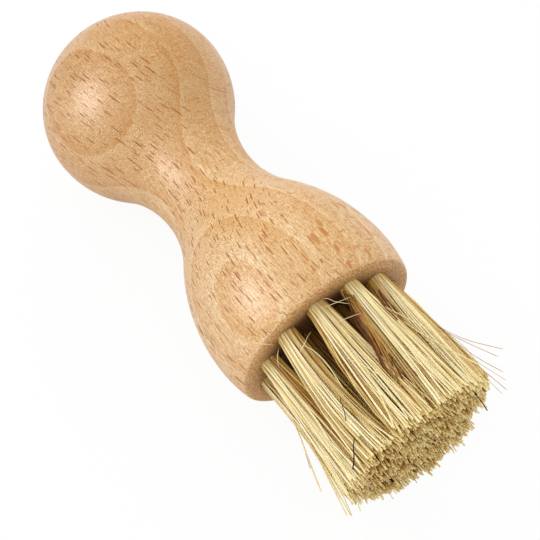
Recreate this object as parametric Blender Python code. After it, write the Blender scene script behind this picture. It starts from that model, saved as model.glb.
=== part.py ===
"""A shoe polish dauber: a turned beech handle whose round head is bored for nineteen tufts of stiff
plant fibre. Each tuft is folded over a flat metal anchor at the bottom of its hole.

Lengths are in metres. The lathe axis runs along +X, from the knob to the tips of the bristles. The
dauber lies on its side with its axis level, the knob on z = 0 and the origin under its middle."""

import math
import random

import bmesh
import bpy
from mathutils import Matrix, Vector

# Turned handle, measured along its axis
KNOB_RADIUS = 0.0204
KNOB_END = 0.0187  # the knob's centre to its end, a little flattened
NECK_RADIUS = 0.0107
NECK_FROM_KNOB = 0.0275  # the knob's centre to the thinnest place
HOLLOW_RADIUS = 0.0211  # of the hollow on the head's side of the neck
HEAD_RADIUS = 0.0200
WIDEST_FROM_NECK = 0.0316  # the thinnest place to the head's widest ring
FACE_FROM_WIDEST = 0.0078  # that ring to the flat end face
FACE_STEP_IN = 0.0011  # how far the head draws in from that ring to the face
RIM_ROUND = 0.0012

# Holes drilled in the end face
RINGS = (  # in even steps from the rim to the axis: how many holes, and the turn of the first
    ("outer", 12, math.radians(15)),
    ("inner", 6, math.radians(20)),
    ("centre", 1, 0),
)
HOLE_RADIUS = 0.0021
HOLE_DEPTH = 0.0120  # to the start of the drill point
DRILL_POINT = math.radians(118)
RIM_LAND = 0.0020  # flat wood between the rim's round and the outer holes

# Tufts
BRISTLE_LENGTH = 0.0273  # from the wooden face to the trimmed tips
FLARE = 0.0008  # how far the trimmed end reaches past the outer holes
STRANDS = ((1, 0.0), (6, 0.50), (13, 1.0))  # rings in a tuft: how many, and how far out as a share
STRAND_GAP = 0.00015  # between two strands, each of which stands for a lock of fibres
TIP_STRAY = 0.00006  # how far a tip strays from its even place
TRIM_UNEVEN = 0.0005
KNEE = 0.45  # where a strand bends, as a share of its length
KNEE_SPREAD = 0.38  # how much of its spread it has reached there
ROOT_SUNK = 0.0010  # the packed root ends this far below the wooden face

# Anchors
ANCHOR_THICKNESS = 0.0005
ANCHOR_HEIGHT = 0.0024
FOLD_THICKNESS = 0.0012  # of the fibre that passes under the anchor

# Clearance between pieces that touch on the real brush
CLEARANCE = 0.0003

# Fineness of the turned and drilled shapes
CUT_INSIDE = 0.00007  # the most that a straight step of the outline cuts inside its arc
HANDLE_SIDES = 64
HOLE_SIDES = 14
ROOT_SIDES = 12

# Places along the axis, measured from the knob's end
NECK = KNOB_END + NECK_FROM_KNOB
WIDEST = NECK + WIDEST_FROM_NECK
FACE = WIDEST + FACE_FROM_WIDEST
LENGTH = FACE + BRISTLE_LENGTH

# Sizes that follow from the ones above
AXIS_HEIGHT = max(KNOB_RADIUS, HEAD_RADIUS) * math.cos(math.pi / HANDLE_SIDES)
START = Vector((-LENGTH / 2, 0, AXIS_HEIGHT))  # the knob's end, on the axis
BROW = (FACE_FROM_WIDEST**2 + FACE_STEP_IN**2) / (2 * FACE_STEP_IN)  # radius of the head's last arc
RIM_ALONG = FACE_FROM_WIDEST - RIM_ROUND
FACE_RADIUS = HEAD_RADIUS - BROW + math.sqrt((BROW - RIM_ROUND) ** 2 - RIM_ALONG**2)
ROOT_RADIUS = HOLE_RADIUS - CLEARANCE
DRILL_POINT_DEPTH = HOLE_RADIUS / math.tan(DRILL_POINT / 2)
ROOT_DEPTH = HOLE_DEPTH - CLEARANCE
ANCHOR_FLOOR = ROOT_DEPTH - FOLD_THICKNESS - CLEARANCE  # depth of the anchor's lower edge


def clear_scene():
    for old in list(bpy.data.objects):
        bpy.data.objects.remove(old, do_unlink=True)


def add_object(name, bm, location=(0, 0, 0)):
    """Turns the bmesh into a named object."""
    mesh = bpy.data.meshes.new(name)
    bmesh.ops.recalc_face_normals(bm, faces=bm.faces)
    bm.to_mesh(mesh)
    bm.free()
    obj = bpy.data.objects.new(name, mesh)
    obj.location = location
    bpy.context.collection.objects.link(obj)
    return obj


def paint(obj, colour, roughness, metallic=0.0):
    """Gives the object a Principled material of its own."""
    material = bpy.data.materials.new(obj.name)
    material.use_nodes = True
    shader = material.node_tree.nodes["Principled BSDF"]
    shader.inputs["Base Color"].default_value = (*colour, 1)
    shader.inputs["Roughness"].default_value = roughness
    shader.inputs["Metallic"].default_value = metallic
    obj.data.materials.clear()
    obj.data.materials.append(material)


def combine(target, tool, operation):
    """Applies a Boolean of the tool to the target and removes the tool."""
    modifier = target.modifiers.new(operation, "BOOLEAN")
    modifier.operation = operation
    modifier.solver = "EXACT"
    modifier.object = tool
    bpy.context.view_layer.update()
    graph = bpy.context.evaluated_depsgraph_get()
    result = bpy.data.meshes.new_from_object(target.evaluated_get(graph))
    target.modifiers.clear()
    target.data = result
    bpy.data.objects.remove(tool, do_unlink=True)


def arc(centre, radius, start, end):
    """Points of an arc in the (along, out) plane, without its first one. An angle of 90 degrees
    points away from the axis."""
    widest_step = 2 * math.acos(1 - CUT_INSIDE / radius)
    steps = math.ceil(abs(end - start) / widest_step)
    turns = (start + (end - start) * i / steps for i in range(1, steps + 1))
    return [(centre[0] + radius * math.cos(a), centre[1] + radius * math.sin(a)) for a in turns]


def handle_profile():
    """The turned outline as (along, out) points: knob, neck, hollow, head, brow, rim and face. Each
    arc starts tangent to the last one."""
    knob = (KNOB_END, 0)
    flattened = KNOB_END / KNOB_RADIUS

    # The knob's side of the neck is a hollow that touches the knob and is level at the neck.
    thinning = KNOB_RADIUS - NECK_RADIUS
    throat = (NECK_FROM_KNOB**2 + NECK_RADIUS**2 - KNOB_RADIUS**2) / (2 * thinning)
    throat_centre = (NECK, NECK_RADIUS + throat)
    leave_knob = math.atan2(throat_centre[1], NECK_FROM_KNOB)

    # The hollow and the head's swell are two arcs that touch, level at the neck and the widest ring.
    rise = HEAD_RADIUS - NECK_RADIUS
    both = (WIDEST_FROM_NECK**2 + rise**2) / (2 * rise)
    swell = both - HOLLOW_RADIUS
    hollow_centre = (NECK, NECK_RADIUS + HOLLOW_RADIUS)
    swell_centre = (WIDEST, HEAD_RADIUS - swell)
    meet = math.atan2(hollow_centre[1] - swell_centre[1], -WIDEST_FROM_NECK)

    # The brow draws in to the face, and the rim's round touches both.
    brow_centre = (WIDEST, HEAD_RADIUS - BROW)
    leave_brow = math.acos(RIM_ALONG / (BROW - RIM_ROUND))
    rim_centre = (FACE - RIM_ROUND, FACE_RADIUS)

    up, down = math.pi / 2, -math.pi / 2
    return (
        [(0, 0)]
        + [(KNOB_END + (x - KNOB_END) * flattened, r) for x, r in arc(knob, KNOB_RADIUS, math.pi, up)]
        + arc(knob, KNOB_RADIUS, up, leave_knob)
        + arc(throat_centre, throat, leave_knob - math.pi, down)
        + arc(hollow_centre, HOLLOW_RADIUS, down, meet - math.pi)
        + arc(swell_centre, swell, meet, up)
        + arc(brow_centre, BROW, up, leave_brow)
        + arc(rim_centre, RIM_ROUND, leave_brow, 0)
        + [(FACE, 0)]
    )


def holes():
    """(the form of its pieces' names, radius, angle) of each hole."""
    outer = FACE_RADIUS - RIM_LAND - HOLE_RADIUS
    for step, (name, count, turn) in enumerate(RINGS):
        radius = outer * (1 - step / (len(RINGS) - 1))
        for i in range(count):
            place = name + "_{}" if count == 1 else name + "_{}" + f"_{i + 1:02d}"
            yield place, radius, turn + 2 * math.pi * i / count


def mouth(radius, angle):
    """Where a hole opens in the end face."""
    return START + Vector((FACE, radius * math.cos(angle), radius * math.sin(angle)))


def turned_blank():
    """The handle before drilling: its outline spun about the lathe axis, a flat side downwards."""
    bm = bmesh.new()
    half = Matrix.Rotation(math.pi / HANDLE_SIDES, 3, "X")
    outline = [bm.verts.new(half @ Vector((along, 0, -out))) for along, out in handle_profile()]
    edges = [bm.edges.new(pair) for pair in zip(outline, outline[1:])]
    bmesh.ops.spin(
        bm,
        geom=outline + edges,
        cent=(0, 0, 0),
        axis=(1, 0, 0),
        angle=2 * math.pi,
        steps=HANDLE_SIDES,
        use_merge=True,
    )
    bmesh.ops.remove_doubles(bm, verts=bm.verts, dist=1e-6)
    return add_object("handle", bm, START)


def drill(bm, place):
    """Adds one drill shape to the bmesh: a round bit with its point down the hole."""
    reach = CLEARANCE + HOLE_DEPTH
    bit = bmesh.ops.create_cone(
        bm,
        cap_ends=True,
        segments=HOLE_SIDES,
        radius1=HOLE_RADIUS,
        radius2=HOLE_RADIUS,
        depth=reach,
        matrix=Matrix.Translation(place + Vector((CLEARANCE - reach / 2, 0, 0)))
        @ Matrix.Rotation(math.pi / 2, 4, "Y"),
    )
    floor = place.x - HOLE_DEPTH
    bottom = {v for v in bit["verts"] if v.co.x < floor + CLEARANCE}
    cap = next(f for v in bottom for f in v.link_faces if set(f.verts) == bottom)
    tip = bmesh.ops.poke(bm, faces=[cap])["verts"]
    bmesh.ops.translate(bm, verts=tip, vec=(-DRILL_POINT_DEPTH, 0, 0))


def make_handle():
    handle = turned_blank()
    bm = bmesh.new()
    for _, radius, angle in holes():
        drill(bm, mouth(radius, angle))
    combine(handle, add_object("drills", bm), "DIFFERENCE")
    handle.data.shade_smooth()
    handle.data.set_sharp_from_angle(angle=math.radians(40))
    paint(handle, (0.66, 0.40, 0.20), 0.42)


def strand_places(turn):
    """The places of one tuft's strands in a unit disc, in rings that step round by half a place."""
    for count, reach in STRANDS:
        for i in range(count):
            angle = turn + 2 * math.pi * (i + 0.5) / count
            yield Vector((0, math.cos(angle), math.sin(angle))) * reach


def least_distance(places):
    return min((a - b).length for i, a in enumerate(places) for b in places[i + 1 :])


def strand_radius(disc, gap):
    """The thickest that the strands can be in a disc, with the gap between them."""
    apart = least_distance(list(strand_places(0)))
    return (apart * disc - gap) / (2 + apart)


def tip_spread():
    """The radius of one tuft at the trimmed end, and how much closer to the axis its middle lies
    there than at its hole. The tufts just fill the end."""
    middles = [Vector((0, math.cos(angle), math.sin(angle))) * radius for _, radius, angle in holes()]
    outer = max(middle.length for middle in middles)
    half = least_distance(middles) / 2
    draw_in = (outer + HOLE_RADIUS + FLARE) / (outer + half)
    return half * draw_in - STRAND_GAP / 2, draw_in


def add_strand(bm, turn, knots):
    """A three-sided strand through its knots, each one a place and a thickness."""
    place, thickness = knots[0]
    lie = Matrix.Rotation(turn, 4, "X") @ Matrix.Rotation(math.pi / 2, 4, "Y")
    bottom = bmesh.ops.create_circle(
        bm, cap_ends=True, segments=3, radius=thickness, matrix=Matrix.Translation(place) @ lie
    )["verts"]
    face = bottom[0].link_faces[0]
    for number, (next_place, next_thickness) in enumerate(knots[1:]):
        top = bmesh.ops.extrude_face_region(bm, geom=[face])["geom"]
        if number > 0:
            bmesh.ops.delete(bm, geom=[face], context="FACES_ONLY")
        moved = [v for v in top if isinstance(v, bmesh.types.BMVert)]
        face = next(f for f in top if isinstance(f, bmesh.types.BMFace))
        wider = next_thickness / thickness
        bmesh.ops.translate(bm, verts=moved, vec=next_place - place)
        about = Matrix.Translation(-next_place)
        bmesh.ops.scale(bm, verts=moved, vec=(1, wider, wider), space=about)
        place, thickness = next_place, next_thickness


def add_strands(bm, radius, angle, rng):
    """The strands of one tuft, from its root out to the tips. At every height they keep the order
    that they have in the root, so none crosses another."""
    tip_disc, draw_in = tip_spread()
    root_disc = ROOT_RADIUS * math.cos(math.pi / ROOT_SIDES) - STRAND_GAP / 4
    root_strand = strand_radius(root_disc, STRAND_GAP)
    tip_strand = strand_radius(tip_disc, STRAND_GAP + 3 * TIP_STRAY)
    lean = Vector((0, math.cos(angle), math.sin(angle))) * radius * (draw_in - 1)
    base = -2 * ROOT_SUNK
    knee = base + (BRISTLE_LENGTH - base) * KNEE
    knee_strand = root_strand + (tip_strand - root_strand) * KNEE_SPREAD
    for number, place in enumerate(strand_places(rng.uniform(0, 2 * math.pi))):
        low = place * (root_disc - root_strand)
        stray = Vector((0, rng.uniform(-1, 1), rng.uniform(-1, 1))) * TIP_STRAY
        high = place * (tip_disc - tip_strand) + lean + stray
        trim = TRIM_UNEVEN * rng.random() if number else 0
        knots = (
            (low + Vector((base, 0, 0)), root_strand),
            (low.lerp(high, KNEE_SPREAD) + Vector((knee, 0, 0)), knee_strand),
            (high + Vector((BRISTLE_LENGTH - trim, 0, 0)), tip_strand),
        )
        add_strand(bm, rng.uniform(0, 2 * math.pi), knots)


def add_root(bm):
    """The packed root in its hole, rounded where the fibres turn back under the anchor."""
    length = ROOT_DEPTH - ROOT_SUNK
    middle = Vector((-ROOT_SUNK - length / 2, 0, 0))
    bmesh.ops.create_cone(
        bm,
        cap_ends=True,
        segments=ROOT_SIDES,
        radius1=ROOT_RADIUS,
        radius2=ROOT_RADIUS,
        depth=length,
        matrix=Matrix.Translation(middle) @ Matrix.Rotation(math.pi / 2, 4, "Y"),
    )
    floor = -ROOT_DEPTH + CLEARANCE
    bottom = [e for e in bm.edges if all(v.co.x < floor for v in e.verts)]
    bmesh.ops.bevel(bm, geom=bottom, offset=FOLD_THICKNESS / 2, segments=1, profile=0.5, affect="EDGES")


def box(low, high):
    """A bmesh box between two corners."""
    bm = bmesh.new()
    size = high - low
    middle = (high + low) / 2
    bmesh.ops.create_cube(bm, size=1, matrix=Matrix.Translation(middle) @ Matrix.Diagonal((*size, 1)))
    return bm


def make_tuft(name, radius, angle, rng):
    place = mouth(radius, angle)
    bm = bmesh.new()
    add_strands(bm, radius, angle, rng)
    tuft = add_object(name.format("tuft"), bm, place)
    bm = bmesh.new()
    add_root(bm)
    root = add_object("root", bm, place)

    # The fibres pass on both sides of the anchor and under it.
    half = ANCHOR_THICKNESS / 2 + CLEARANCE
    low = Vector((-ANCHOR_FLOOR - CLEARANCE, -2 * ROOT_RADIUS, -half))
    high = Vector((-ANCHOR_FLOOR + ANCHOR_HEIGHT + CLEARANCE, 2 * ROOT_RADIUS, half))
    combine(root, add_object("slot", box(low, high), place), "DIFFERENCE")
    combine(tuft, root, "UNION")
    paint(tuft, (rng.uniform(0.66, 0.74), rng.uniform(0.54, 0.60), rng.uniform(0.32, 0.38)), 0.6)


def make_anchor(name, radius, angle):
    """A piece cut from flat wire, its lower corners clipped to enter the hole."""
    bm = box(
        Vector((-ANCHOR_FLOOR, -ROOT_RADIUS, -ANCHOR_THICKNESS / 2)),
        Vector((-ANCHOR_FLOOR + ANCHOR_HEIGHT, ROOT_RADIUS, ANCHOR_THICKNESS / 2)),
    )
    low = -ANCHOR_FLOOR + ANCHOR_HEIGHT / 2
    corners = [
        e
        for e in bm.edges
        if all(v.co.x < low for v in e.verts) and e.verts[0].co.y * e.verts[1].co.y > 0
    ]
    bmesh.ops.bevel(bm, geom=corners, offset=ANCHOR_THICKNESS, segments=1, profile=0.5, affect="EDGES")
    anchor = add_object(name.format("anchor"), bm, mouth(radius, angle))
    paint(anchor, (0.60, 0.60, 0.58), 0.35, 1.0)


def main():
    clear_scene()
    make_handle()
    rng = random.Random(7)
    for name, radius, angle in holes():
        make_tuft(name, radius, angle, rng)
        make_anchor(name, radius, angle)


main()
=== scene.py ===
import math
import random

import bmesh
import bpy
from mathutils import Matrix, Vector, noise


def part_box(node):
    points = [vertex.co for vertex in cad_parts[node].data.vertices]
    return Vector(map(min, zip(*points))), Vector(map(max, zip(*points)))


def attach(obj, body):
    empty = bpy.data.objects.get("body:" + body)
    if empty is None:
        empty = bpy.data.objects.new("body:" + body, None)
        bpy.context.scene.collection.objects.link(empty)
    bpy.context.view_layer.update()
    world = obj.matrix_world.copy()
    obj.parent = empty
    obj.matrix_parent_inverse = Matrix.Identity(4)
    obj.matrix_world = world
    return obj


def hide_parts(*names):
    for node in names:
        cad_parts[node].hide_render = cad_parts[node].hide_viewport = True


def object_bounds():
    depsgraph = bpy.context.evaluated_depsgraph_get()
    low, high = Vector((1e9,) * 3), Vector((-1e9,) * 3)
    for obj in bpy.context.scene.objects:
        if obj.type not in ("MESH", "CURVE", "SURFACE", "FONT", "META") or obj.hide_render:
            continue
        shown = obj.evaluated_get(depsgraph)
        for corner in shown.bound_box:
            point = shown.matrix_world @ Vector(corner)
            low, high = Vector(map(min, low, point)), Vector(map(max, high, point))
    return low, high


# Shoe polish dauber: a turned beech handle with nineteen tufts of plant fibre.
# Lengths are in metres. The lathe axis runs along +X, from the knob to the tips.
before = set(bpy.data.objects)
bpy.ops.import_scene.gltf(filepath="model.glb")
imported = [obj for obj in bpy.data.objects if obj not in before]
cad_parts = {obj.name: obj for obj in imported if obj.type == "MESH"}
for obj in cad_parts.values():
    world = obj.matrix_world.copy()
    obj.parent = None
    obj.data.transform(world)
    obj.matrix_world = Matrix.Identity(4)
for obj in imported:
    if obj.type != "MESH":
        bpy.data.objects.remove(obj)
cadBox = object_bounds()
handleLow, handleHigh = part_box("handle")
axisHeight = (handleLow.z + handleHigh.z) / 2
faceX = handleHigh.x  # the wooden end face
tipX = cadBox[1].x  # the trimmed tips
mm = 0.001
tiny = 1e-6


# Shader helpers

white = (1, 1, 1)


class Value:
    # a shader socket that takes part in sums
    def __init__(self, shader, socket):
        self.shader = shader
        self.socket = socket

    def output(self, name):
        return Value(self.shader, self.socket.node.outputs[name])

    def calc(self, operation, *others):
        return self.shader.calc(operation, self, *others)

    def __add__(self, other):
        return self.calc("ADD", other)

    __radd__ = __add__

    def __sub__(self, other):
        return self.calc("SUBTRACT", other)

    def __rsub__(self, other):
        return self.shader.calc("SUBTRACT", other, self)

    def __mul__(self, other):
        return self.calc("MULTIPLY", other)

    __rmul__ = __mul__

    def __truediv__(self, other):
        return self.calc("DIVIDE", other)

    def __pow__(self, other):
        return self.calc("POWER", other)


class Shader:
    def __init__(self, nodeTree):
        self.nodeTree = nodeTree
        nodeTree.nodes.clear()

    def add(self, kind, settings=None, sockets=None, out=0):
        node = self.nodeTree.nodes.new(kind)
        for name, value in (settings or {}).items():
            if name == "stops":
                setStops(node.color_ramp, value)
            else:
                setattr(node, name, value)
        for name, value in (sockets or {}).items():
            if isinstance(value, Value):
                self.nodeTree.links.new(value.socket, node.inputs[name])
            else:
                node.inputs[name].default_value = value
        return Value(self, node.outputs[out]) if node.outputs else None

    def calc(self, operation, *values):
        return self.add("ShaderNodeMath", {"operation": operation}, dict(enumerate(values)))

    def vector(self, operation, *values, out=0):
        return self.add("ShaderNodeVectorMath", {"operation": operation}, dict(enumerate(values)), out)

    def steps(self, value, low, high, start=0.0, end=1.0):
        # eases from start to end as the value goes from low to high
        return self.add("ShaderNodeMapRange", {"interpolation_type": "SMOOTHSTEP"},
                        {"Value": value, 1: low, 2: high, 3: start, 4: end})

    def mix(self, factor, first, second, blend="MIX"):
        return self.add("ShaderNodeMix", {"data_type": "RGBA", "blend_type": blend},
                        {0: factor, 6: rgba(first), 7: rgba(second)}, out=2)

    def tinted(self, colour, tint):
        return self.mix(1.0, colour, tint, "MULTIPLY")

    def noise(self, place, scale, detail=2.0, roughness=0.5):
        return self.add("ShaderNodeTexNoise", {"noise_dimensions": "3D"},
                        {"Vector": self.vector("MULTIPLY", place, scale), "Scale": 1.0,
                         "Detail": detail, "Roughness": roughness})


def rgba(colour):
    # three numbers get an alpha; a socket stays as it is
    return (*colour, 1) if isinstance(colour, tuple) else colour


def setStops(ramp, stops):
    # stops are (position, colour) with colour a number or three
    while len(ramp.elements) > 1:
        ramp.elements.remove(ramp.elements[-1])
    for number, (position, colour) in enumerate(stops):
        stop = ramp.elements[0] if number == 0 else ramp.elements.new(position)
        stop.position = position
        stop.color = rgba(colour if isinstance(colour, tuple) else (colour, colour, colour))


def newMaterial(name):
    material = bpy.data.materials.new(name)
    material.use_nodes = True
    return material, Shader(material.node_tree)


def surface(shader, bsdf):
    shader.add("ShaderNodeOutputMaterial", {}, {"Surface": bsdf})


def axisPlace(shader, local):
    # the place along the lathe axis, and the distance from it
    along = shader.add("ShaderNodeSeparateXYZ", {}, {0: local}, out="X")
    beside, high = along.output("Y"), along.output("Z") - axisHeight
    return along, (beside * beside + high * high) ** 0.5


# Camera

camera = {
    "place": (0.10416, -0.06850, 0.20409),
    "azimuth": math.radians(53.897),
    "elevation": math.radians(57.985),
    "roll": math.radians(0.857),
    "lens": 74.89,  # mm
    "sensor": 36,  # mm
    "nearest": 0.01,
}


def makeCamera():
    data = bpy.data.cameras.new("camera")
    data.lens = camera["lens"]
    data.sensor_width = camera["sensor"]
    data.clip_start = camera["nearest"]
    obj = bpy.data.objects.new("camera", data)
    bpy.context.scene.collection.objects.link(obj)
    obj.location = camera["place"]
    tilt = math.pi / 2 - camera["elevation"]
    aim = Matrix.Rotation(camera["azimuth"], 3, "Z") @ Matrix.Rotation(tilt, 3, "X")
    obj.rotation_euler = (aim @ Matrix.Rotation(camera["roll"], 3, "Z")).to_euler()
    bpy.context.scene.camera = obj


makeCamera()
print("camera made")


# Studio

studio = {
    "daylight": 0.73,  # of the world on the object
    "ceiling": 0.17,  # of the world in the object's gloss
    "floorWhite": 0.93,  # how far the camera sees the floor as plain white
    "floorTone": 0.86,
    "floorSize": 3.0,
    "lamps": [  # name, direction from the object, distance, size, watts, gives light, gives gloss
        ("key", (-0.64, -0.50, 0.58), 0.60, 0.30, 0.62, True, False),
        ("softbox", (-0.28, -0.78, 0.53), 0.60, 0.32, 3.40, False, True),
        ("top", (0.30, -0.40, 0.87), 0.45, 0.34, 0.72, True, False),
        ("back", (-0.70, 0.62, 0.35), 0.80, 0.50, 2.4, True, False),
    ],
}


def makeWorld():
    world = bpy.data.worlds.new("studio")
    bpy.context.scene.world = world
    world.use_nodes = True
    shader = Shader(world.node_tree)
    path = shader.add("ShaderNodeLightPath", out="Is Camera Ray")
    strength = studio["daylight"] + path * (1 - studio["daylight"])
    strength = strength - path.output("Is Glossy Ray") * (studio["daylight"] - studio["ceiling"])
    sky = shader.add("ShaderNodeBackground", {}, {"Color": rgba(white), "Strength": strength})
    shader.add("ShaderNodeOutputWorld", {}, {"Surface": sky})


def makeFloor():
    bm = bmesh.new()
    bmesh.ops.create_grid(bm, x_segments=1, y_segments=1, size=studio["floorSize"] / 2)
    mesh = bpy.data.meshes.new("floor")
    bm.to_mesh(mesh)
    bm.free()
    floor = bpy.data.objects.new("floor", mesh)
    bpy.context.scene.collection.objects.link(floor)
    material, shader = newMaterial("paperFloor")
    tone = studio["floorTone"]
    paper = shader.add("ShaderNodeBsdfDiffuse", {}, {"Color": rgba((tone, tone, tone))})
    glow = shader.add("ShaderNodeEmission", {}, {"Color": rgba(white), "Strength": 1.0})
    seen = shader.add("ShaderNodeLightPath", out="Is Camera Ray") * studio["floorWhite"]
    surface(shader, shader.add("ShaderNodeMixShader", {}, {0: seen, 1: paper, 2: glow}))
    mesh.materials.append(material)


def makeLamps():
    middle = (cadBox[0] + cadBox[1]) / 2
    for name, direction, distance, size, watts, light, gloss in studio["lamps"]:
        data = bpy.data.lights.new(name, "AREA")
        data.size = size
        data.energy = watts
        lamp = bpy.data.objects.new(name, data)
        bpy.context.scene.collection.objects.link(lamp)
        lamp.visible_diffuse = light
        lamp.visible_glossy = gloss
        away = Vector(direction).normalized()
        lamp.location = middle + away * distance
        lamp.rotation_euler = away.to_track_quat("Z", "Y").to_euler()


makeWorld()
makeFloor()
makeLamps()
bpy.context.scene.view_settings.view_transform = "Standard"
print("studio made")


# Handle

turning = {
    "knobRadius": axisHeight,  # it lies on the floor
    "knobEnd": 18.7 * mm,  # its centre to its end
    "neckRadius": 10.7 * mm,
    "neckFromKnob": 27.5 * mm,
    "hollowRadius": 21.1 * mm,
    "headRadius": 20.0 * mm,
    "widestFromNeck": 31.6 * mm,
    "faceFromWidest": 7.8 * mm,
    "faceStepIn": 1.1 * mm,
    "rimRound": 1.2 * mm,
    "cutInside": 0.012 * mm,  # the most that a step of the outline cuts inside its arc
    "sides": 160,
    "sharp": math.radians(35),  # steeper edges stay sharp
}

drilling = {
    "radius": 2.1 * mm,
    "depth": 12.0 * mm,
    "point": math.radians(118),
    "sides": 40,
    "above": 1 * mm,  # a bit starts this far outside the wood
    "mouthWear": 0.12 * mm,
    "mouthReach": 1.05,  # of the radius; what lies nearer belongs to the mouth
}


def arc(centre, radius, start, end):
    step = 2 * math.acos(1 - turning["cutInside"] / radius)
    count = math.ceil(abs(end - start) / step)
    turns = [start + (end - start) * i / count for i in range(1, count + 1)]
    return [(centre[0] + radius * math.cos(a), centre[1] + radius * math.sin(a)) for a in turns]


def handleOutline():
    # (along, out) from the knob's end to the end face; each arc touches the last one
    knob, neck, head = (turning[k] for k in ("knobRadius", "neckRadius", "headRadius"))
    toNeck, toWidest, toFace = (turning[k] for k in ("neckFromKnob", "widestFromNeck", "faceFromWidest"))
    hollow, stepIn, rim = (turning[k] for k in ("hollowRadius", "faceStepIn", "rimRound"))
    knobX = turning["knobEnd"]
    neckX = knobX + toNeck
    widestX = neckX + toWidest
    throat = (toNeck**2 + neck**2 - knob**2) / (2 * (knob - neck))
    leaveKnob = math.atan2(neck + throat, toNeck)
    rise = head - neck
    swell = (toWidest**2 + rise**2) / (2 * rise) - hollow
    meet = math.atan2(neck + hollow - head + swell, -toWidest)
    brow = (toFace**2 + stepIn**2) / (2 * stepIn)
    toRim = toFace - rim
    rimOut = head - brow + math.sqrt((brow - rim) ** 2 - toRim**2)
    leaveBrow = math.acos(toRim / (brow - rim))
    up, down = math.pi / 2, -math.pi / 2
    return (
        [(0, 0)]
        + [(knobX + x * knobX / knob, r) for x, r in arc((0, 0), knob, math.pi, up)]
        + arc((knobX, 0), knob, up, leaveKnob)
        + arc((neckX, neck + throat), throat, leaveKnob - math.pi, down)
        + arc((neckX, neck + hollow), hollow, down, meet - math.pi)
        + arc((widestX, head - swell), swell, meet, up)
        + arc((widestX, head - brow), brow, up, leaveBrow)
        + arc((widestX + toRim, rimOut), rim, leaveBrow, 0)
        + [(widestX + toFace, 0)]
    )


def holeCentres():
    # name of the tuft and the place where its hole opens, from the anchor that sits in the hole
    found = {}
    for name in sorted(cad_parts):
        if "tuft" in name:
            low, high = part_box(name.replace("tuft", "anchor"))
            found[name] = Vector((faceX, (low.y + high.y) / 2, (low.z + high.z) / 2))
    return found


def asObject(name, bm):
    mesh = bpy.data.meshes.new(name)
    bm.to_mesh(mesh)
    bm.free()
    obj = bpy.data.objects.new(name, mesh)
    bpy.context.scene.collection.objects.link(obj)
    return obj


def turnedBlank():
    bm = bmesh.new()
    outline = [bm.verts.new((handleLow.x + along, 0, axisHeight - out)) for along, out in handleOutline()]
    edges = [bm.edges.new(pair) for pair in zip(outline, outline[1:])]
    bmesh.ops.spin(bm, geom=outline + edges, cent=(0, 0, axisHeight), axis=(1, 0, 0),
                   angle=2 * math.pi, steps=turning["sides"], use_merge=True)
    bmesh.ops.remove_doubles(bm, verts=bm.verts, dist=tiny)
    bmesh.ops.recalc_face_normals(bm, faces=bm.faces)
    return asObject("turned_handle", bm)


def drillBits():
    bm = bmesh.new()
    radius, deep, above = (drilling[k] for k in ("radius", "depth", "above"))
    alongX = Matrix.Rotation(math.pi / 2, 4, "Y")
    for place in holeCentres().values():
        middle = place + Vector(((above - deep) / 2, 0, 0))
        bit = bmesh.ops.create_cone(bm, cap_ends=True, segments=drilling["sides"], depth=deep + above,
                                    radius1=radius, radius2=radius,
                                    matrix=Matrix.Translation(middle) @ alongX)["verts"]
        bottom = {v for v in bit if v.co.x < place.x}
        cap = next(f for v in bottom for f in v.link_faces if set(f.verts) == bottom)
        tip = bmesh.ops.poke(bm, faces=[cap])["verts"]
        pointed = radius / math.tan(drilling["point"] / 2)
        bmesh.ops.translate(bm, verts=tip, vec=(-pointed, 0, 0))
    bmesh.ops.recalc_face_normals(bm, faces=bm.faces)
    return asObject("drill_bits", bm)


def wornMouths(mesh):
    # the drill leaves each mouth a little broken at its edge
    bm = bmesh.new()
    bm.from_mesh(mesh)
    places = list(holeCentres().values())
    reach = drilling["radius"] * drilling["mouthReach"]

    def atMouth(v):
        return abs(v.co.x - faceX) < tiny and any((v.co - p).length < reach for p in places)

    mouths = [e for e in bm.edges if all(map(atMouth, e.verts)) and e.calc_face_angle(0) > 1]
    bmesh.ops.bevel(bm, geom=mouths, offset=drilling["mouthWear"], segments=2, profile=0.5,
                    affect="EDGES", material=-1)
    bm.to_mesh(mesh)
    bm.free()


def makeHandle(material):
    handle, bits = turnedBlank(), drillBits()
    cut = handle.modifiers.new("drill", "BOOLEAN")
    cut.operation = "DIFFERENCE"
    cut.object = bits
    graph = bpy.context.evaluated_depsgraph_get()
    handle.data = bpy.data.meshes.new_from_object(handle.evaluated_get(graph))
    handle.modifiers.clear()
    bpy.data.objects.remove(bits)
    wornMouths(handle.data)
    handle.data.shade_smooth()
    handle.data.set_sharp_from_angle(angle=turning["sharp"])
    handle.data.materials.clear()
    handle.data.materials.append(material)
    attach(handle, "root")
    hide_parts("handle")


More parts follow.
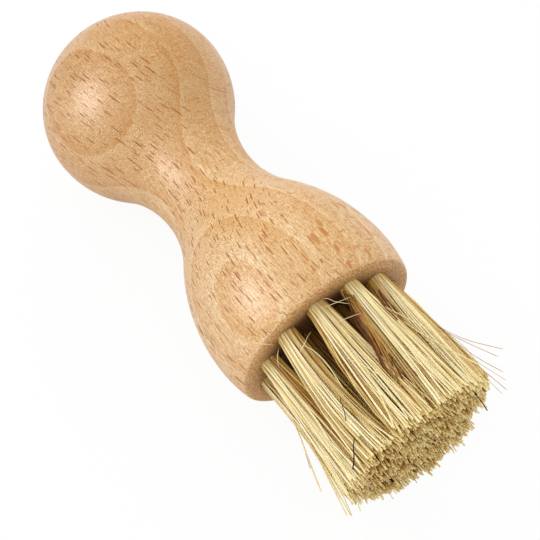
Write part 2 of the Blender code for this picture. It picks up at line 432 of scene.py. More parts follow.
beech = {
    "ringTilt": math.radians(42.45),  # the turn about the axis that lays the growth rings level
    "rings": (19.2, 15.4, 9.4, 2.6, -4.0, -10.5, -16.0),  # mm from the axis, across the rings
    "lastRing": 4,  # mm, how wide the last one is
    "ringReach": (-20.0, 21.0),  # mm, what the ramp of the rings' colours covers
    "ringEdge": (-0.05, 0.06),  # mm, how crisp an edge is
    "ringFade": 1.2,  # mm, how far the light and the dark beside an edge reach
    "ringTones": (1.0, 0.0, 0.42, 0.62),  # before an edge, after it, past the dark, before the light
    "wobble": ((22, 60, 60), 1.6 * mm),  # unevenness of the rings: scales of a noise, and size
    "ripple": ((110, 420, 420), 0.35 * mm),
    "bow": (-25 * mm, -42 * mm, 2.8 * mm),  # in the knob the rings bow outwards
    "askew": (-10 * mm, 2.3),  # and the grain runs off to one side
    "cloud": (60, 170, 170),  # scales of the noises, along the grain and across it
    "grain": (330, 6000, 6000),
    "speck": (2600, 6000, 6000),
    "speckLevels": (0.38, 0.62),
    "pores": (2600, 2600, 2600),
    "poreLevels": (0.30, 0.70),
    "toneShares": (0.47, 0.50, 0.40),  # of ring, cloud and grain
    "toneDrop": 0.25,
    "light": (0.775, 0.550, 0.310),
    "dark": (0.640, 0.345, 0.120),
    "grainShare": 1.9,
    "speckShares": (0.34, 0.20),  # everywhere, and more where the rays show their ends
    "grainTint": (0.70, 1.05, 1.6),  # what the grain does to red, green and blue
    "knobShade": (0.86, 0.785, 0.685),  # painted shade: the colour grows darker towards the knob
    "knobShadeReach": (5 * mm, -36 * mm),
    "rayLength": (0.55, 0.75),  # the shortest, and what chance adds
    "rayEdge": 0.70,  # of its half size, where a ray begins to fade
    "rayChance": 0.1,  # how softly chance decides which rays are there
    "rayFaded": 0.35,  # what is left of bold and fine rays where the broad sides show
    "facings": {  # 0 where the surface shows the rays' ends, 1 where their broad sides
        "ends": (0.38, 0.14),
        "brownToHoney": (0.45, 0.95),
        "fading": (0.6, 0.95),
        "broad": (0.55, 0.85),
        "honey": (0.40, 0.65),
    },
    "rayDark": (0.290, 0.060, 0.000),  # where they are cut straight across
    "rayBrown": (0.370, 0.110, 0.000),
    "rayHoney": (0.560, 0.210, 0.030),
    "honeyReach": (-4 * mm, 12 * mm),  # the honey flecks set in towards the head
    "endLight": (0.860, 0.500, 0.200),
    "endDark": (0.340, 0.150, 0.050),
    "endShade": (0.14, 0.08, 0.04),  # painted shade between the tufts
    "shadeReach": (18 * mm, 12.5 * mm),
    "endShare": 0.9,
    "endDepths": (0.55 * mm, 0.2 * mm),  # under the face, between which its look sets in
    # painted shade deep in the holes
    "inHole": (0.160, 0.075, 0.030),
    "holeDepths": (0.3 * mm, 2.5 * mm),  # between which painted shade darkens a hole
    "holeBottom": (14 * mm, 13.5 * mm),
    "holeMargin": 0.3 * mm,  # the holes keep this far inside the flat face
    "bumps": {"grain": 0.8, "speck": 0.30, "rays": 0.5, "pores": 5},
    "bumpStrength": 0.45,
    "bumpHeight": 0.09 * mm,
    "waist": ((-29 * mm, -17 * mm), (2 * mm, -8 * mm)),  # its ends, where it grows duller
    "roughness": {"plain": 0.37, "speck": 0.14, "endFace": 0.3, "rays": 0.3, "waist": 0.14},
    "wax": 0.22,
    "waxRoughness": 0.26,
}

rayCuts = {  # spacing and half size along the grain, along the rings and across them,
    # the share that is there, and the least strength and what chance adds to it
    "bold": ((2.6 * mm, 0.90 * mm, 8 * mm), (1.25 * mm, 0.135 * mm, 4.2 * mm), 0.68, 0.75, 0.25),
    "fine": ((1.3 * mm, 0.55 * mm, 4 * mm), (0.50 * mm, 0.08 * mm, 2.0 * mm), 0.60, 0.10, 0.35),
    "broad": ((0.70 * mm, 1.8 * mm, 2.2 * mm), (0.17 * mm, 1.0 * mm, 1.05 * mm), 0.80, 0.25, 0.40),
    "honey": ((3.6 * mm, 1.9 * mm, 2.4 * mm), (1.50 * mm, 0.60 * mm, 0.50 * mm), 0.85, 0.50, 0.45),
}


def rays(shader, tree, kind):
    # the wood's rays: thin ribbons across the rings, one in each cell of a stretched pattern
    spacing, half, present, least, more = rayCuts[kind]
    cells = shader.vector("MULTIPLY", tree, tuple(1 / s for s in spacing))
    middle = shader.add("ShaderNodeTexVoronoi", {}, {"Vector": cells, "Scale": 1.0}, out="Position")
    chance = shader.add("ShaderNodeSeparateColor", {}, {0: middle.output("Color")}, out="Red")
    away = shader.vector("SUBTRACT", cells, middle)
    away = shader.vector("MULTIPLY", away, tuple(s / h for s, h in zip(spacing, half)))
    away = shader.vector("LENGTH", away, out="Value")
    shortest, longer = beech["rayLength"]
    away = away / (shortest + chance.output("Green") * longer)
    inside = shader.steps(away, beech["rayEdge"], 1.0, 1.0, 0.0)
    there = shader.steps(chance, 1 - present - beech["rayChance"], 1 - present + beech["rayChance"])
    return inside * there * (least + more * chance.output("Blue"))


def rayMarks(shader, tree, along, sideways):
    # how much of a ray shows at each place
    facings = beech["facings"]
    bold, fine, broad, honey = (rays(shader, tree, kind) for kind in ("bold", "fine", "broad", "honey"))
    marked = bold.calc("MAXIMUM", fine) * shader.steps(sideways, *facings["fading"], 1.0, beech["rayFaded"])
    marked = marked.calc("MAXIMUM", broad * shader.steps(sideways, *facings["broad"]))
    honey = honey * shader.steps(sideways, *facings["honey"]) * shader.steps(along, *beech["honeyReach"])
    return marked.calc("MAXIMUM", honey)


def inTree(shader, local):
    # the place in the tree that the blank was cut from: along the grain, along the rings and
    # across them; and 1 where the surface shows the broad sides of the rays, 0 where their ends
    turn = (beech["ringTilt"], 0, 0)
    tree = shader.add("ShaderNodeMapping", {"vector_type": "TEXTURE"},
                      {"Vector": local, "Location": (0, 0, axisHeight), "Rotation": turn})
    along = shader.add("ShaderNodeSeparateXYZ", {}, {0: tree}, out="X")
    start, amount = beech["askew"]
    past = (along - start).calc("MINIMUM", 0.0)
    askew = along.output("Y") + past * past * amount
    tree = shader.add("ShaderNodeCombineXYZ", {}, {0: along, 1: askew, 2: along.output("Z")})
    normal = shader.add("ShaderNodeNewGeometry", out="Normal")
    facing = shader.add("ShaderNodeMapping", {"vector_type": "TEXTURE"},
                        {"Vector": normal, "Rotation": turn})
    facing = shader.add("ShaderNodeSeparateXYZ", {}, {0: facing}, out="Y")
    return tree, along.output("Z"), facing.calc("ABSOLUTE")


def ringTone(shader, tree, along, across):
    # each ring's edge is a dark line with a light band inside it
    low, high = beech["ringReach"]
    fade = beech["ringFade"]
    start, end, lift = beech["bow"]
    level = across - shader.steps(along, end, start, lift, 0.0)
    for name, detail in (("wobble", 1.0), ("ripple", 2.0)):
        scale, size = beech[name]
        level = level + (shader.noise(tree, scale, detail) - 0.5) * size
    stops = [(0.0, 0.6)]
    edges = sorted(beech["rings"])
    for edge, following in zip(edges, edges[1:] + [edges[-1] + beech["lastRing"]]):
        places = (*beech["ringEdge"], fade, following - edge - fade)
        for place, tone in zip(places, beech["ringTones"]):
            stops.append(((edge + place - low) / (high - low), tone))
    place = (level / mm - low) / (high - low)
    return shader.add("ShaderNodeValToRGB", {"stops": stops}, {"Fac": place})


def longWood(shader, tree, along, across, grain, speck, rayEnds):
    # the wood's colour without its rays, with painted shade towards the knob
    cloud = shader.noise(tree, beech["cloud"], 1.0)
    ringShare, cloudShare, grainShare = beech["toneShares"]
    tone = ringTone(shader, tree, along, across) * ringShare + cloud * cloudShare + grain * grainShare
    colour = shader.mix(shader.steps(tone - beech["toneDrop"], 0.0, 1.0), beech["dark"], beech["light"])
    everywhere, atEnds = beech["speckShares"]
    level = (grain - 0.5) * beech["grainShare"] + (speck - 0.5) * (everywhere + rayEnds * atEnds)
    bright = [level * share + 1 for share in beech["grainTint"]]
    bright = shader.add("ShaderNodeCombineXYZ", {}, dict(enumerate(bright)))
    # painted shade: the wood is darker towards the knob
    tint = shader.mix(shader.steps(along, *beech["knobShadeReach"]), white, beech["knobShade"])
    return shader.tinted(shader.tinted(colour, bright), tint)


def below(shader, along, depths):
    # eases from 0 to 1 between two depths under the end face
    return shader.steps(along, *(faceX - depth for depth in depths))


def makeBeech():
    material, shader = newMaterial("waxedBeech")
    local = shader.add("ShaderNodeTexCoord", out="Object")
    along, fromAxis = axisPlace(shader, local)
    tree, across, sideways = inTree(shader, local)
    grain = shader.noise(tree, beech["grain"], 3.0, 0.70)
    speck = shader.steps(shader.noise(tree, beech["speck"], 2.0, 0.7), *beech["speckLevels"])
    rayEnds = shader.steps(sideways, *beech["facings"]["ends"])
    colour = longWood(shader, tree, along, across, grain, speck, rayEnds)

    toHoney = shader.steps(sideways, *beech["facings"]["brownToHoney"])
    rayColour = shader.mix(toHoney, beech["rayBrown"], beech["rayHoney"])
    rayColour = shader.mix(rayEnds, rayColour, beech["rayDark"])
    marked = rayMarks(shader, tree, along, sideways)
    colour = shader.mix(marked, colour, rayColour)

    # bare end grain on the drilled face, with painted shade between the tufts
    endFace = below(shader, along, beech["endDepths"])
    pores = shader.noise(tree, beech["pores"], 3.0, 0.7)
    endColour = shader.mix(shader.steps(pores, *beech["poreLevels"]), beech["endDark"], beech["endLight"])
    # painted shade: darker towards the axis, between the tufts
    endShade = shader.mix(shader.steps(fromAxis, *beech["shadeReach"]), white, beech["endShade"])
    colour = shader.mix(endFace * beech["endShare"], colour, shader.tinted(endColour, endShade))

    # raw wood down the holes, painted dark with depth as shade
    faceRadius = turning["headRadius"] - turning["faceStepIn"] - turning["rimRound"]
    drilled = shader.steps(fromAxis, faceRadius, faceRadius - beech["holeMargin"])
    drilled = drilled * below(shader, along, beech["holeBottom"])
    deep = below(shader, along, beech["holeDepths"])
    colour = shader.mix(deep * drilled, colour, beech["inHole"])

    bumps, roughness = beech["bumps"], beech["roughness"]
    height = grain * bumps["grain"] + speck * bumps["speck"] - marked * bumps["rays"]
    height = height + pores * endFace * bumps["pores"]
    bump = shader.add("ShaderNodeBump", {}, {
        "Height": height, "Strength": beech["bumpStrength"], "Distance": beech["bumpHeight"]})
    fromKnob, fromHead = beech["waist"]
    waist = shader.steps(along, *fromKnob) * shader.steps(along, *fromHead)
    rough = roughness["plain"] + (speck - 0.5) * roughness["speck"] + endFace * roughness["endFace"]
    rough = rough + marked * roughness["rays"] + waist * roughness["waist"]
    surface(shader, shader.add("ShaderNodeBsdfPrincipled", {}, {
        "Base Color": colour, "Roughness": rough, "Normal": bump, "IOR": 1.45,
        "Coat Weight": beech["wax"] * (1 - marked), "Coat Roughness": beech["waxRoughness"]}))
    return material


makeHandle(makeBeech())
print("handle made")


# Tufts

fibre = {
    "perTuft": 165,
    "sides": 5,
    "stations": (-0.06, 0.0, 0.10, 0.24, 0.40, 0.58, 0.76, 0.90, 1.0),  # shares of the free length
    "rootThick": 0.122 * mm,  # radius
    "tipThick": 0.158 * mm,
    "thickness": (0.74, 1.50),  # from the thinnest fibre to the thickest
    "flat": 0.72,
    "rootDisc": 1.92 * mm,
    "clump": 1.25 * mm,  # how far clumps of fibres move aside at the tips
    "clumpScale": 2.3,
    "scatter": 0.24 * mm,  # of single tips, around the axis
    "scatterOut": 0.8,  # of that, outwards
    "sway": 0.30 * mm,  # of the middles
    "mostOut": 0.35 * mm,  # a sway goes no further outwards
    "swing": 0.35,  # of the sway, for a second bend
    "wildShare": 0.06,
    "wild": 1.5 * mm,  # the scatter of wild fibres
    "wildOut": 1.0 * mm,  # and those of outer tufts stand off
    "wildSway": 3,
    "splay": 1.10,
    "fuller": 0.55,  # how far a disc of tips spreads into its cell's corners
    "sharp": math.radians(80),  # steeper edges stay sharp
    "hiddenFrom": 0.70,  # of an outer tuft's radius; the fibres further inside are hidden and get painted shade
    "hiddenInside": 0.8,  # how much the inner tufts' fibres are hidden, which paints them in shade
    "seed": 11,
    "clumpSeed": 2,
}

trimming = {
    "over": 1.2 * mm,  # the usual reach past the trimmed plane
    "uneven": 1.3 * mm,
    "unevenScale": 2,
    "shares": (1.5, 0.4, 0.9),  # of chance, of all fibres and of whole patches
    "shortShare": 0.03,
    "short": (0, 4),  # mm
    "longShare": 0.05,
    "long": (0.3, 1.1),  # mm
    "lean": 0.8 * mm,  # the trimmed end is a little longer below
    "fallOff": 1.0 * mm,  # and shorter at both sides
}

bent = {  # how far a tuft bends inwards and aside half way, and how much it ends short
    "outer_tuft_01": (0, 0, 0.6 * mm),
    "outer_tuft_05": (0.2 * mm, 0.95 * mm, 0),
    "outer_tuft_07": (0.8 * mm, 0, 1.4 * mm),
    "outer_tuft_08": (0.2 * mm, 0, 1.2 * mm),
    "outer_tuft_09": (0, 0, 0.5 * mm),
    "outer_tuft_12": (0, 0, 0.9 * mm),
}

slim = {"outer_tuft_05": 1.5, "outer_tuft_06": 1.3}  # tufts that flare later than the others

tipCells = {  # at the trimmed end: radius of the middle, half depth, half turn
    "outer": (13.4 * mm, 3.1 * mm, math.radians(15.6)),
    "inner": (7.2 * mm, 3.5 * mm, math.radians(31)),
    "centre": (0.0, 4.0 * mm, 0.0),
}

tones = {  # shares of black, brown and golden fibres; the rest are straw to cream; the inner and centre tufts' extra brown is partly their own colour, partly painted shade
    "outer": (0.001, 0.025, 0.13),
    "inner": (0.004, 0.10, 0.26),
    "centre": (0.004, 0.06, 0.20),
}

toneReach = {  # places on the ramp of the straw's tones, from black at 0 to cream at 1
    "black": (0.0, 0.04),
    "brown": (0.16, 0.36),
    "golden": (0.36, 0.58),
    "straw": (0.64, 1.0),
    "hiddenShadeDrop": 0.27,  # painted shade: hidden straw is painted darker
    "hiddenShadeBrown": 0.10,  # and more of it is brown, as painted shade
    "hiddenLeast": 0.05,  # for a brown one
    "patches": 0.12,  # how much fibres of a tone stay together
    "patchScale": 2.5,
}


def plainFibre():
    # a straight fibre with a ring of corners at x = 0, 1, 2 ...
    bm = bmesh.new()
    alongX = Matrix.Rotation(math.pi / 2, 4, "Y")
    ends = bmesh.ops.create_circle(bm, cap_ends=True, segments=fibre["sides"], radius=1, matrix=alongX)
    face = ends["verts"][0].link_faces[0]
    for station in range(1, len(fibre["stations"])):
        top = bmesh.ops.extrude_face_region(bm, geom=[face])["geom"]
        if station > 1:
            bmesh.ops.delete(bm, geom=[face], context="FACES_ONLY")
        bmesh.ops.translate(bm, verts=[v for v in top if isinstance(v, bmesh.types.BMVert)], vec=(1, 0, 0))
        face = next(f for f in top if isinstance(f, bmesh.types.BMFace))
    bmesh.ops.recalc_face_normals(bm, faces=bm.faces)
    mesh = bpy.data.meshes.new("fibre")
    bm.to_mesh(mesh)
    bm.free()
    return mesh


def noFibres():
    bm = bmesh.new()
    for layer in ("tone", "hidden", "along"):
        bm.verts.layers.float.new(layer)
    return bm


def layFibre(bm, plain, path, thick, tone, hidden, rng):
    # adds one fibre along the path, which has a point for each station
    start = len(bm.verts)
    bm.from_mesh(plain)
    bm.verts.ensure_lookup_table()
    toneLayer, hiddenLayer, alongLayer = (bm.verts.layers.float[k] for k in ("tone", "hidden", "along"))
    roll = Matrix.Rotation(rng.uniform(0, 2 * math.pi), 3, "X") @ Matrix.Diagonal((1, 1, fibre["flat"]))
    last = len(path) - 1
    turns = []
    for number in range(len(path)):
        ahead = path[min(number + 1, last)] - path[max(number - 1, 0)]
        turns.append(Vector((1, 0, 0)).rotation_difference(ahead).to_matrix() @ roll)
    for v in bm.verts[start:]:
        number = round(v.co.x)
        wide = thick * (fibre["rootThick"] + (fibre["tipThick"] - fibre["rootThick"]) * (number / last))
        v.co = path[number] + turns[number] @ Vector((0, v.co.y, v.co.z)) * wide
        v[toneLayer] = tone
        v[hiddenLayer] = hidden
        v[alongLayer] = fibre["stations"][number]


def fibreTone(kind, u, v, hidden, seed, rng):
    black, brown, golden = tones[kind]
    if rng.random() < black:
        return rng.uniform(*toneReach["black"])
    scale = toneReach["patchScale"]
    luck = rng.random() + toneReach["patches"] * noise.noise(Vector((u * scale, v * scale, seed)))
    # painted shade: hidden fibres are browner and darker
    brown += toneReach["hiddenShadeBrown"] * hidden
    if luck < brown and hidden > toneReach["hiddenLeast"]:
        return rng.uniform(*toneReach["brown"])
    if luck < brown + golden:
        return rng.uniform(*toneReach["golden"])
    return rng.uniform(*toneReach["straw"]) - toneReach["hiddenShadeDrop"] * hidden


def tipPlace(kind, angle, u, v):
    # the cell of the trimmed end that this tuft fills
    middle, deep, halfTurn = tipCells[kind]
    if kind == "centre":
        sin, cos = math.sin(angle), math.cos(angle)
        return Vector((0, cos * u - sin * v, sin * u + cos * v)) * deep
    square = max(abs(u), abs(v), tiny) / max(math.hypot(u, v), tiny)
    fuller = square ** -fibre["fuller"]
    radius = middle + deep * u * fuller
    turn = angle + halfTurn * v * fuller
    return Vector((0, radius * math.cos(turn), radius * math.sin(turn)))


def trimmed(u, v, seed, rng):
    # how much shorter a fibre is than the longest ones
    chance, everywhere, patches = trimming["shares"]
    scale = trimming["unevenScale"]
    patch = noise.noise(Vector((u * scale, v * scale, -seed)))
    trim = max(trimming["uneven"] * (chance * rng.random()**2 + everywhere + patches * patch), 0)
    if rng.random() < trimming["shortShare"]:
        return trim + rng.uniform(*trimming["short"]) * mm
    if rng.random() < trimming["longShare"]:
        return trim - rng.uniform(*trimming["long"]) * mm
    return trim


def fibrePath(root, tip, length, sway, swing, splay):
    path = []
    for share in fibre["stations"]:
        free = max(share, 0)
        bend = sway * math.sin(math.pi * free) + swing * math.sin(2 * math.pi * free)
        path.append(root.lerp(tip, free**splay) + bend + Vector((length * share, 0, 0)))
    return path


def makeTuft(name, place, plain, material, rng):
    kind = name.split("_")[0]
    axis = Vector((faceX, 0, axisHeight))
    out = place - axis
    angle = math.atan2(out.z, out.y)
    radial = Vector((0, math.cos(angle), math.sin(angle)))
    around = Vector((0, -math.sin(angle), math.cos(angle)))
    goldenTurn = math.pi * (3 - math.sqrt(5))
    seed = rng.uniform(0, 100)
    inwards, aside, short = bent.get(name, (0, 0, 0))
    bm = noFibres()
    # u and v are a fibre's place in the tuft, outwards and around, from -1 to 1
    for number in range(fibre["perTuft"]):
        reach = math.sqrt((number + 0.5) / fibre["perTuft"])
        turn = seed + number * goldenTurn
        u, v = reach * math.cos(turn), reach * math.sin(turn)
        root = place + (radial * u + around * v) * fibre["rootDisc"]
        wild = rng.random() < fibre["wildShare"]
        clump = noise.noise_vector(Vector((u * fibre["clumpScale"], v * fibre["clumpScale"], seed)))
        tip = axis + tipPlace(kind, angle, u, v)
        tip += (radial * clump.x + around * clump.y) * fibre["clump"]
        scatter = fibre["wild"] if wild else fibre["scatter"]
        tip += radial * rng.gauss(0, scatter) * fibre["scatterOut"] + around * rng.gauss(0, scatter)
        if wild and kind == "outer":
            tip += radial * abs(rng.gauss(0, 1)) * fibre["wildOut"]
        length = tipX + trimming["over"] - trimmed(u, v, seed, rng) - faceX
        length -= trimming["lean"] * (tip.z - axisHeight) / axisHeight
        length -= trimming["fallOff"] * (tip.y / axisHeight)**2 + short
        swayed = fibre["sway"] * (fibre["wildSway"] if wild else 1)
        sway = radial * (min(rng.gauss(0, swayed), fibre["mostOut"]) - inwards)
        sway += around * (rng.gauss(0, swayed) + aside)
        swing = (radial * rng.gauss(0, 1) + around * rng.gauss(0, 1)) * swayed * fibre["swing"]
        path = fibrePath(root, tip, length, sway, swing, slim.get(name, fibre["splay"]))
        thick = rng.uniform(*fibre["thickness"])
        # how hidden a fibre is; it sets how much painted shade its colour gets
        hidden = min(max(fibre["hiddenFrom"] - u, 0), 1) if kind == "outer" else fibre["hiddenInside"]
        layFibre(bm, plain, path, thick, fibreTone(kind, u, v, hidden, seed, rng), hidden, rng)

    tuft = asObject(name.replace("tuft", "fibres"), bm)
    tuft.data.shade_smooth()
    tuft.data.set_sharp_from_angle(angle=fibre["sharp"])
    tuft.data.materials.append(material)
    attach(tuft, "root")
    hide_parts(name)


straw = {
    "tones": [
        (0.00, (0.020, 0.014, 0.010)),
        (0.08, (0.100, 0.024, 0.008)),
        (0.22, (0.340, 0.135, 0.030)),
        (0.40, (0.610, 0.380, 0.108)),
        (0.62, (0.900, 0.730, 0.350)),
        (1.00, (0.995, 0.920, 0.635)),
    ],
    "streak": (260, 3800, 3800),
    "streakTone": 0.22,
    # painted shade where the fibres leave the holes
    "rootShade": (0.85, 0.74, 0.55),
    "rootReach": 0.14,  # of the length
    "deepShade": (0.40, 0.30, 0.19),  # painted shade low down between the outer tufts
    "deepReach": (12.5 * mm, 9 * mm),  # from the axis
    "deepHeight": (21 * mm, 5 * mm),  # over the end face
    # painted shade on the fibres hidden inside the tufts, fading out at the very tips
    "hiddenShade": (0.76, 0.61, 0.31),
    "hiddenReach": (1.0, 0.95),  # shares of the length
    "cutEnd": (0.930, 0.770, 0.340),
    "cutReach": (0.97, 1.0),
    "cutShare": 0.6,
    "cutTones": (0.06, 0.30),  # the ends of black fibres stay black
    "dullTones": (0.62, 0.30),  # brown fibres are duller
    "roughness": {"plain": 0.40, "streak": 0.2, "deep": 0.4, "brown": 0.4},
}


def makeStraw():
    material, shader = newMaterial("plantFibre")
    tone, along, hidden = (shader.add("ShaderNodeAttribute", {"attribute_name": name}, out="Fac")
                           for name in ("tone", "along", "hidden"))
    local = shader.add("ShaderNodeTexCoord", out="Object")
    onAxis, fromAxis = axisPlace(shader, local)
    streak = shader.noise(local, straw["streak"], 2.0) - 0.5
    colour = shader.add("ShaderNodeValToRGB", {"stops": straw["tones"]},
                        {"Fac": tone + streak * straw["streakTone"]})
    # painted shade at the roots
    atRoot = shader.mix(shader.steps(along, 0.0, straw["rootReach"]), straw["rootShade"], white)
    colour = shader.tinted(colour, atRoot)
    # painted shade on the fibres low down between the outer tufts
    deep = shader.steps(fromAxis, *straw["deepReach"])
    deep = deep * shader.steps(onAxis, *(faceX + height for height in straw["deepHeight"]))
    colour = shader.mix(deep, colour, shader.tinted(colour, straw["deepShade"]))
    # painted shade on the hidden fibres
    hidden = hidden * shader.steps(along, *straw["hiddenReach"])
    colour = shader.tinted(colour, shader.mix(hidden, white, straw["hiddenShade"]))
    cut = shader.steps(along, *straw["cutReach"], 0.0, straw["cutShare"])
    cut = shader.steps(tone, *straw["cutTones"]) * cut
    colour = shader.mix(cut, colour, straw["cutEnd"])
    roughness = straw["roughness"]
    rough = roughness["plain"] + streak * roughness["streak"] + deep * roughness["deep"]
    rough = rough + shader.steps(tone, *straw["dullTones"], 0.0, roughness["brown"])
    surface(shader, shader.add("ShaderNodeBsdfPrincipled", {}, {
        "Base Color": colour, "Roughness": rough, "IOR": 1.45, "Specular IOR Level": 0.25}))
    return material


strays = [  # loose hairs: thickness, tone and the places they pass through, in mm
    # they stand out on the right
    (0.40, 0.35, ((34.0, 13.6, 25.6), (41.0, 14.4, 27.0), (47.0, 16.2, 28.2), (53.1, 19.5, 30.2))),
    (0.40, 0.37, ((35.0, 13.4, 26.2), (43.0, 14.7, 27.2), (48.5, 16.4, 28.3), (53.5, 18.2, 29.4))),
    (0.38, 0.33, ((38.0, 13.6, 26.0), (46.3, 14.9, 27.4), (51.2, 15.8, 28.0), (56.1, 17.2, 28.8))),
    (0.38, 0.36, ((40.0, 13.8, 26.2), (48.2, 14.8, 27.4), (52.7, 15.6, 27.8), (57.5, 16.7, 28.5))),
    (0.38, 0.33, ((42.0, 13.8, 26.0), (50.5, 14.7, 27.3), (54.6, 15.3, 27.7), (58.9, 15.8, 28.0))),
    (0.38, 0.36, ((43.0, 13.2, 25.8), (50.4, 14.2, 27.0), (54.3, 14.7, 27.3), (58.8, 14.9, 27.4))),
    # they stand out on the left and at the tips
    (0.90, 0.62, ((31.0, -13.4, 19.0), (40.1, -13.9, 16.4), (47.5, -15.2, 16.1), (58.1, -16.8, 15.8))),
    (0.90, 0.60, ((33.0, -13.6, 18.6), (43.1, -14.4, 16.3), (49.0, -15.7, 16.0), (57.8, -17.3, 15.7))),
    (0.34, 0.04, ((33.0, -13.6, 19.5), (39.0, -14.6, 16.2), (42.9, -15.9, 16.0), (47.2, -17.4, 15.8))),
    (0.70, 0.00, ((52.0, 11.0, 26.5), (56.5, 11.6, 26.2), (59.3, 11.5, 25.6))),
    (0.70, 0.02, ((44.9, -10.2, 32.6), (45.9, -10.9, 33.1), (47.5, -11.4, 33.0), (48.9, -12.1, 32.6))),
    (0.95, 0.00, ((51.9, -12.6, 31.6), (52.9, -13.5, 31.3), (54.3, -14.4, 30.4), (55.3, -15.3, 28.9))),
    # pale ones that curl and cross near the roots
    (0.36, 0.74, ((28.9, -3.4, 35.2), (29.9, -2.2, 36.7), (31.2, -1.3, 36.5), (32.6, 1.0, 35.4))),
    (0.38, 0.80, ((29.6, -5.0, 34.3), (31.0, -3.0, 36.2), (31.7, -0.8, 36.7), (31.9, 1.6, 36.2))),
    (0.36, 0.74, ((33.6, -4.6, 34.6), (34.6, -2.7, 36.0), (35.2, -1.0, 36.6), (35.5, 1.0, 36.2))),
    (0.45, 0.80, ((29.3, -12.6, 29.9), (29.4, -13.6, 31.3), (29.3, -14.6, 32.3), (28.9, -15.4, 32.7))),
    (0.45, 0.86, ((32.2, -7.0, 33.2), (33.0, -8.4, 33.9), (33.8, -9.6, 34.1), (34.4, -11.0, 33.2))),
    (0.50, 0.90, ((32.4, -9.6, 31.4), (35.0, -9.2, 33.6), (39.0, -9.0, 34.6), (44.2, -9.4, 34.3))),
    (0.45, 0.90, ((30.2, -12.4, 29.9), (31.4, -13.5, 30.9), (32.4, -14.2, 30.1), (32.4, -13.9, 27.8))),
    (0.45, 0.86, ((34.0, 5.2, 34.4), (37.5, 5.8, 35.8), (41.5, 7.4, 36.0), (45.5, 9.6, 35.2))),
    (0.50, 0.92, ((40.0, -6.2, 35.2), (44.0, -4.6, 36.2), (48.5, -3.4, 36.6), (52.5, -2.8, 36.8))),
    # brown ones that lie on the tufts
    (1.00, 0.10, ((29.6, 1.8, 34.9), (33.8, 0.4, 35.4), (37.0, -0.7, 35.7),
                  (40.0, -1.1, 36.2), (43.2, -1.7, 36.6), (49.0, -3.0, 35.4))),
    (0.90, 0.12, ((29.8, 2.0, 35.0), (33.7, 0.8, 35.4), (37.1, -0.3, 35.9),
                  (40.3, -0.9, 36.3), (44.0, -1.7, 36.7), (50.0, -3.0, 35.4))),
    (1.20, 0.30, ((30.9, 2.1, 35.2), (34.7, 1.3, 35.9), (37.9, 0.6, 36.4),
                  (40.7, 0.0, 36.7), (43.2, -0.7, 36.8), (49.0, -1.8, 35.4))),
    (1.10, 0.26, ((31.3, 2.2, 35.4), (35.1, 1.4, 36.1), (38.3, 0.6, 36.5),
                  (41.2, 0.1, 36.9), (44.1, -0.6, 37.1), (50.0, -1.6, 35.4))),
    (1.20, 0.33, ((31.6, 2.5, 35.6), (35.4, 1.6, 36.3), (38.6, 0.8, 36.7),
                  (41.4, 0.3, 37.0), (44.4, -0.2, 37.2), (50.0, -1.2, 35.5))),
    (1.00, 0.22, ((30.8, 1.8, 35.2), (34.3, 1.0, 35.6), (37.5, 0.2, 36.2),
                  (40.3, -0.5, 36.6), (43.0, -1.2, 36.7), (49.0, -2.4, 35.2))),
    (1.00, 0.08, ((41.8, 0.2, 36.8), (43.6, -0.2, 37.0), (45.3, -0.4, 37.1),
                  (47.9, -0.9, 37.2), (49.9, -1.4, 37.3))),
    (1.00, 0.11, ((32.7, 7.4, 34.1), (34.0, 7.1, 34.5), (35.4, 7.0, 34.7),
                  (37.0, 7.0, 34.9), (38.6, 6.9, 35.0))),
    (1.00, 0.13, ((32.4, 6.6, 34.5), (34.9, 5.8, 35.2), (37.2, 5.5, 35.6),
                  (38.5, 5.6, 35.7), (40.0, 5.6, 35.8))),
    (0.90, 0.18, ((32.1, 7.3, 34.0), (35.1, 6.4, 34.9), (37.7, 6.1, 35.4),
                  (40.0, 6.2, 35.6), (42.6, 6.2, 35.8))),
    (1.20, 0.14, ((47.4, 1.0, 37.5), (48.3, 0.9, 37.7), (49.6, 0.7, 37.8),
                  (50.1, 0.8, 37.8), (51.0, 0.8, 37.5))),
    (0.80, 0.10, ((44.0, 6.8, 35.8), (44.9, 6.8, 36.1), (45.6, 6.8, 36.0),
                  (46.1, 6.9, 36.0), (46.6, 7.1, 35.8))),
    # black ones in the trimmed end
    (1.10, 0.00, ((50.0, -10.2, 28.3), (53.5, -10.5, 28.5), (57.1, -10.8, 28.7))),
    (1.20, 0.00, ((50.0, 2.5, 20.2), (53.5, 2.6, 20.1), (57.1, 2.6, 20.0))),
    (1.20, 0.00, ((50.0, 9.5, 29.3), (53.5, 9.9, 29.5), (57.1, 10.1, 29.7))),
    (1.10, 0.00, ((50.0, -1.3, 14.3), (53.5, -1.4, 14.0), (57.1, -1.5, 13.8))),
    (1.00, 0.00, ((50.0, -6.8, 17.6), (53.5, -7.0, 17.5), (57.1, -7.2, 17.4))),
]


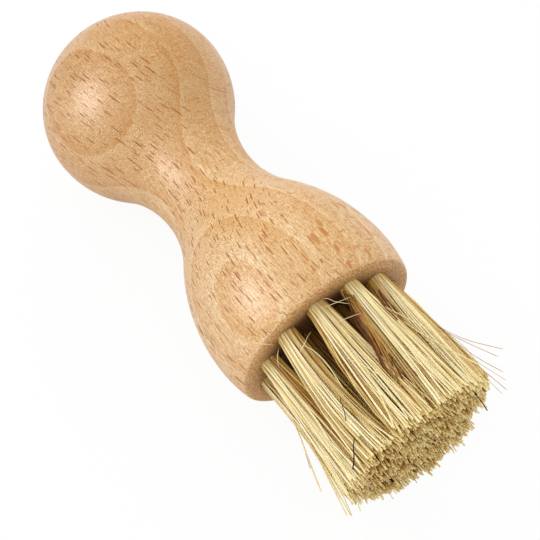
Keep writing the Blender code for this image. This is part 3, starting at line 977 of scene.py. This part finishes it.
def pathThrough(knots):
    # a smooth path through the knots with a point for each ring of a fibre
    count = len(fibre["stations"])
    ends = [knots[0] * 2 - knots[1], *knots, knots[-1] * 2 - knots[-2]]
    path = []
    for number in range(count):
        share = number / (count - 1) * (len(knots) - 1)
        first = min(int(share), len(knots) - 2)
        a, b, c, d = ends[first:first + 4]
        w = share - first
        path.append(b + (c - a) * (w / 2) + (a * 2 - b * 5 + c * 4 - d) * (w**2 / 2)
                    + ((b - c) * 3 + d - a) * (w**3 / 2))
    return path


def makeStrays(plain, material, rng):
    bm = noFibres()
    for thick, tone, places in strays:
        layFibre(bm, plain, pathThrough([Vector(p) * mm for p in places]), thick, tone, 0, rng)
    hairs = asObject("stray_fibres", bm)
    hairs.data.shade_smooth()
    hairs.data.materials.append(material)
    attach(hairs, "root")


def makeTufts():
    rng = random.Random(fibre["seed"])
    noise.seed_set(fibre["clumpSeed"])  # noise_vector draws its offsets from this
    plain, material = plainFibre(), makeStraw()
    for name, place in holeCentres().items():
        makeTuft(name, place, plain, material, rng)
    makeStrays(plain, material, rng)
    bpy.data.meshes.remove(plain)


makeTufts()
print("tufts made")


# Anchors, the clips of flat wire deep in the holes

wire = {
    "spangle": (2500, 900, 2500),  # scales of its noise
    "spangleLevels": (0.35, 0.65),
    "spangleRough": 0.3,
    "bright": (0.62, 0.62, 0.60),
    "dull": (0.40, 0.40, 0.39),
    "roughness": 0.34,
}


def makeWire():
    material, shader = newMaterial("zincWire")
    local = shader.add("ShaderNodeTexCoord", out="Object")
    spangle = shader.noise(local, wire["spangle"], 3.0)
    colour = shader.mix(shader.steps(spangle, *wire["spangleLevels"]), wire["dull"], wire["bright"])
    bump = shader.add("ShaderNodeBump", {}, {"Height": spangle, "Strength": 0.2, "Distance": 0.01 * mm})
    surface(shader, shader.add("ShaderNodeBsdfPrincipled", {}, {
        "Base Color": colour, "Metallic": 1.0, "Normal": bump,
        "Roughness": wire["roughness"] + (spangle - 0.5) * wire["spangleRough"]}))
    return material


zinc = makeWire()
for name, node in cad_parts.items():
    if "anchor" in name:
        node.data.materials.clear()
        node.data.materials.append(zinc)
print("anchors dressed")


bpy.context.view_layer.update()
